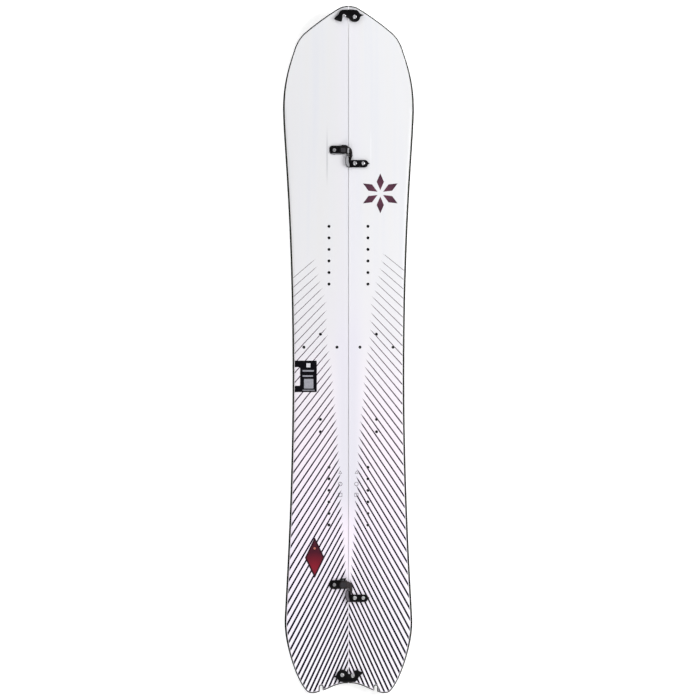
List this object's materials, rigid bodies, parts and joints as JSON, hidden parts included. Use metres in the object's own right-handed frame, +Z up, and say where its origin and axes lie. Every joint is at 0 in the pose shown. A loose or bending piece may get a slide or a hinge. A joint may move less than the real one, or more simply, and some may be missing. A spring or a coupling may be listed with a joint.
{
  "type": "splitboard",
  "caption": "Swallow-tailed splitboard: a layered snowboard cut lengthwise into two skis, held together by end hooks and lever clips, with threaded binding inserts.",
  "frame": {"origin": "centre of the footprint, at the level of the lowest points of the base", "axes": "+Y towards the nose, +Z up out of the topsheet, +X towards the right half; X = 0 is the plane of the cut"},
  "size_m": [0.288, 1.509, 0.0518],
  "materials": {
    "topsheet_plastic": "glossy film, dark printed stripes",
    "glass_laminate": "glass fibre set in resin",
    "core_wood": "raw poplar",
    "sidewall_plastic": "black ABS",
    "edge_steel": "ground",
    "base_plastic": "black sintered, stone ground",
    "screw_steel": "bright stainless",
    "insert_steel": "dull plated",
    "clip_black": "black anodised",
    "lever_black": "black anodised",
    "catch_grey": "dark grey anodised",
    "spacer_plastic": "black acetal"
  },
  "bodies": {
    "left_half": {"left_base_sheet": "base_plastic", "left_outer_edge": "edge_steel", "left_inner_edge": "edge_steel", "left_lower_laminate": "glass_laminate", "left_wood_core": "core_wood", "left_outer_sidewall": "sidewall_plastic", "left_inner_sidewall": "sidewall_plastic", "left_upper_laminate": "glass_laminate", "left_topsheet": "topsheet_plastic", "left_front_inserts": "insert_steel", "left_rear_inserts": "insert_steel", "left_touring_inserts": "insert_steel", "left_heel_inserts": "insert_steel", "left_front_clip_inserts": "insert_steel", "left_rear_clip_inserts": "insert_steel", "front_clip_base": "clip_black", "front_lever_pin": "screw_steel", "front_base_screw": "screw_steel", "rear_clip_base": "clip_black", "rear_lever_pin": "screw_steel", "rear_base_screw": "screw_steel", "nose_catch_post": "screw_steel", "nose_post_insert": "insert_steel", "tail_hook_spacer": "spacer_plastic", "tail_hook_screw": "screw_steel", "tail_hook_insert": "insert_steel"},
    "right_half": {"right_base_sheet": "base_plastic", "right_outer_edge": "edge_steel", "right_inner_edge": "edge_steel", "right_lower_laminate": "glass_laminate", "right_wood_core": "core_wood", "right_outer_sidewall": "sidewall_plastic", "right_inner_sidewall": "sidewall_plastic", "right_upper_laminate": "glass_laminate", "right_topsheet": "topsheet_plastic", "right_front_inserts": "insert_steel", "right_rear_inserts": "insert_steel", "right_touring_inserts": "insert_steel", "right_heel_inserts": "insert_steel", "right_front_clip_inserts": "insert_steel", "right_rear_clip_inserts": "insert_steel", "front_clip_catch": "catch_grey", "front_catch_screw_inner": "screw_steel", "front_catch_screw_outer": "screw_steel", "rear_clip_catch": "catch_grey", "rear_catch_screw_inner": "screw_steel", "rear_catch_screw_outer": "screw_steel", "nose_hook_screw": "screw_steel", "nose_hook_spacer": "spacer_plastic", "nose_hook_insert": "insert_steel", "tail_catch_post": "screw_steel", "tail_post_insert": "insert_steel"},
    "front_lever": {"front_clip_lever": "lever_black"},
    "rear_lever": {"rear_clip_lever": "lever_black"},
    "nose_hook": {"nose_hook": "clip_black"},
    "tail_hook": {"tail_hook": "clip_black"}
  },
  "joints": [
    {"name": "halves_slide", "type": "slide", "parent": "left_half", "child": "right_half", "axis": [1, 0, 0], "range_m": [0, 0.025]},
    {"name": "front_lever_turn", "type": "hinge", "parent": "left_half", "child": "front_lever", "pos_m": [-0.012, 0.439, 0.0141], "axis": [0, 0, 1], "range_deg": [0, 135]},
    {"name": "rear_lever_turn", "type": "hinge", "parent": "left_half", "child": "rear_lever", "pos_m": [-0.012, -0.5165, 0.0141], "axis": [0, 0, 1], "range_deg": [0, 135]},
    {"name": "nose_hook_turn", "type": "hinge", "parent": "right_half", "child": "nose_hook", "pos_m": [0.0136, 0.732, 0.04319], "axis": [0, -0.2468, 0.9691], "range_deg": [-200, 0]},
    {"name": "tail_hook_turn", "type": "hinge", "parent": "left_half", "child": "tail_hook", "pos_m": [-0.0136, -0.7153, 0.01765], "axis": [0, 0.1223, 0.9925], "range_deg": [-200, 0]}
  ],
  "couplings": [
    {"joint": "front_lever_turn", "follows": "halves_slide", "rad_per_m": 94.248},
    {"joint": "rear_lever_turn", "follows": "halves_slide", "rad_per_m": 94.248},
    {"joint": "nose_hook_turn", "follows": "halves_slide", "rad_per_m": -139.63},
    {"joint": "tail_hook_turn", "follows": "halves_slide", "rad_per_m": -139.63}
  ]
}
